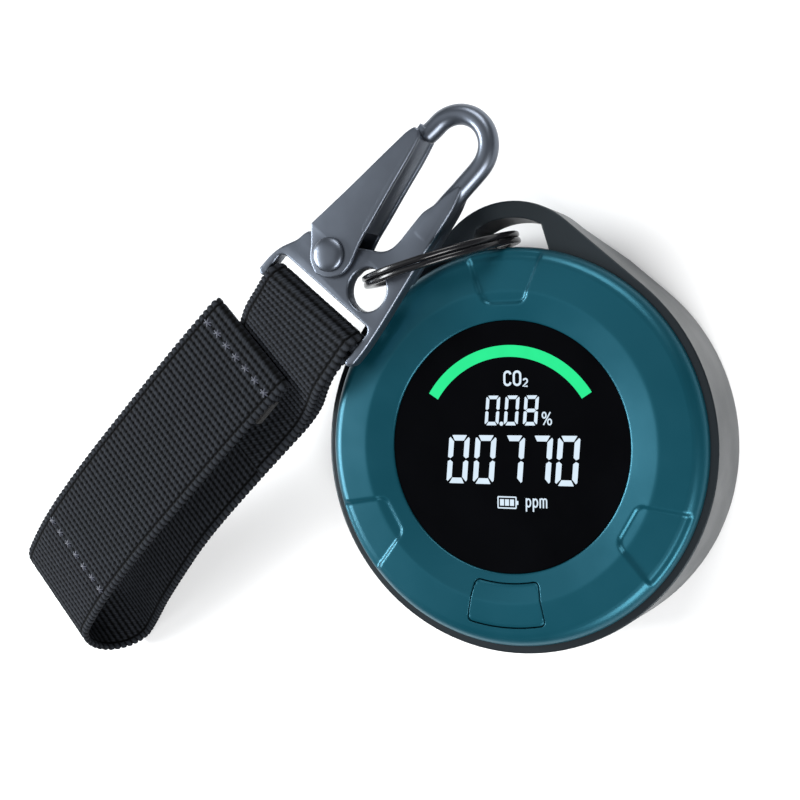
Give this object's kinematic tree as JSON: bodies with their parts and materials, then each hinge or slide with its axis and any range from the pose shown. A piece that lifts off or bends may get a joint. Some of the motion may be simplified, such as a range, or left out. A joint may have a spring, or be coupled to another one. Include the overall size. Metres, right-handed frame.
{
  "type": "carbon dioxide monitor",
  "caption": "Round pocket carbon dioxide monitor with a face display, a press button, a lanyard lug, a split ring, a snap hook and a webbing keeper strap.",
  "frame": {"origin": "centre of the round case's flat back face", "axes": "+Z out of the display, +Y towards the lanyard lug, +X to the right seen from the front"},
  "size_m": [0.1569, 0.1093, 0.0306],
  "materials": {
    "case_plastic": "fine matte black",
    "bezel_plastic": "satin teal paint",
    "button_plastic": "satin teal paint",
    "lens_plastic": "polished black window",
    "panel_glass": "smooth",
    "holder_plastic": "moulded",
    "ribbon_film": "amber film",
    "circuit_board": "green solder mask",
    "screw_steel": "plated",
    "socket_steel": "bright",
    "sensor_metal": "gold plated",
    "filter_felt": "white membrane",
    "cell_foil": "foil pouch",
    "part_plastic": "moulded",
    "seal_rubber": "soft",
    "ring_steel": "gloss black",
    "hook_metal": "black nickel",
    "webbing": "ribbed black webbing",
    "fastener_tape": "hook and loop pile"
  },
  "bodies": {
    "monitor": {"case_body": "case_plastic", "rear_cover": "case_plastic", "cover_screws": "screw_steel", "cover_gasket": "seal_rubber", "front_bezel": "bezel_plastic", "bezel_gasket": "seal_rubber", "display_lens": "lens_plastic", "display_panel": "panel_glass", "display_holder": "holder_plastic", "display_ribbon": "ribbon_film", "main_board": "circuit_board", "board_screws": "screw_steel", "carbon_dioxide_sensor": "sensor_metal", "sensor_filter": "filter_felt", "battery_cell": "cell_foil", "buzzer": "part_plastic", "vibration_motor": "screw_steel", "charging_socket": "socket_steel", "button_switch": "part_plastic"},
    "button": {"mode_button": "button_plastic", "switch_plunger": "part_plastic"},
    "ring": {"split_ring": "ring_steel"},
    "hook": {"hook_frame": "hook_metal", "hook_rivet": "hook_metal"},
    "gate": {"hook_gate": "hook_metal", "gate_spring": "socket_steel"},
    "strap": {"clip_tab": "webbing", "strap_back": "webbing", "strap_fold": "webbing", "loop_patch": "fastener_tape"},
    "flap": {"strap_flap": "webbing", "hook_patch": "fastener_tape"}
  },
  "joints": [
    {"name": "button_press", "type": "slide", "parent": "monitor", "child": "button", "axis": [0, 0, -1], "range_m": [0, 0.0006], "stiffness_N_per_m": 800, "springref_m": -0.0002},
    {"name": "ring_swing", "type": "hinge", "parent": "monitor", "child": "ring", "pos_m": [-0.00048, 0.03776, 0.0155], "axis": [0, 0, -1], "range_deg": [0, 45]},
    {"name": "clip_lift", "type": "hinge", "parent": "ring", "child": "hook", "pos_m": [-0.02482, 0.02871, 0.0242], "axis": [-0.7254, 0.6884, 0], "range_deg": [0, 8]},
    {"name": "gate_open", "type": "hinge", "parent": "hook", "child": "gate", "pos_m": [-0.03171, 0.03539, 0.0239], "axis": [0, 0, -1], "range_deg": [0, 17], "stiffness_Nm_per_rad": 0.02, "springref_deg": -11.46, "deforming": ["gate_spring"]},
    {"name": "strap_swing", "type": "hinge", "parent": "hook", "child": "strap", "pos_m": [-0.03691, 0.0257, 0.0242], "axis": [-0.7716, 0.6361, 0], "range_deg": [0, 60]},
    {"name": "flap_open", "type": "hinge", "parent": "strap", "child": "flap", "pos_m": [-0.10969, -0.03325, 0.01511], "axis": [0.6794, -0.7337, 0], "range_deg": [0, 150]}
  ]
}
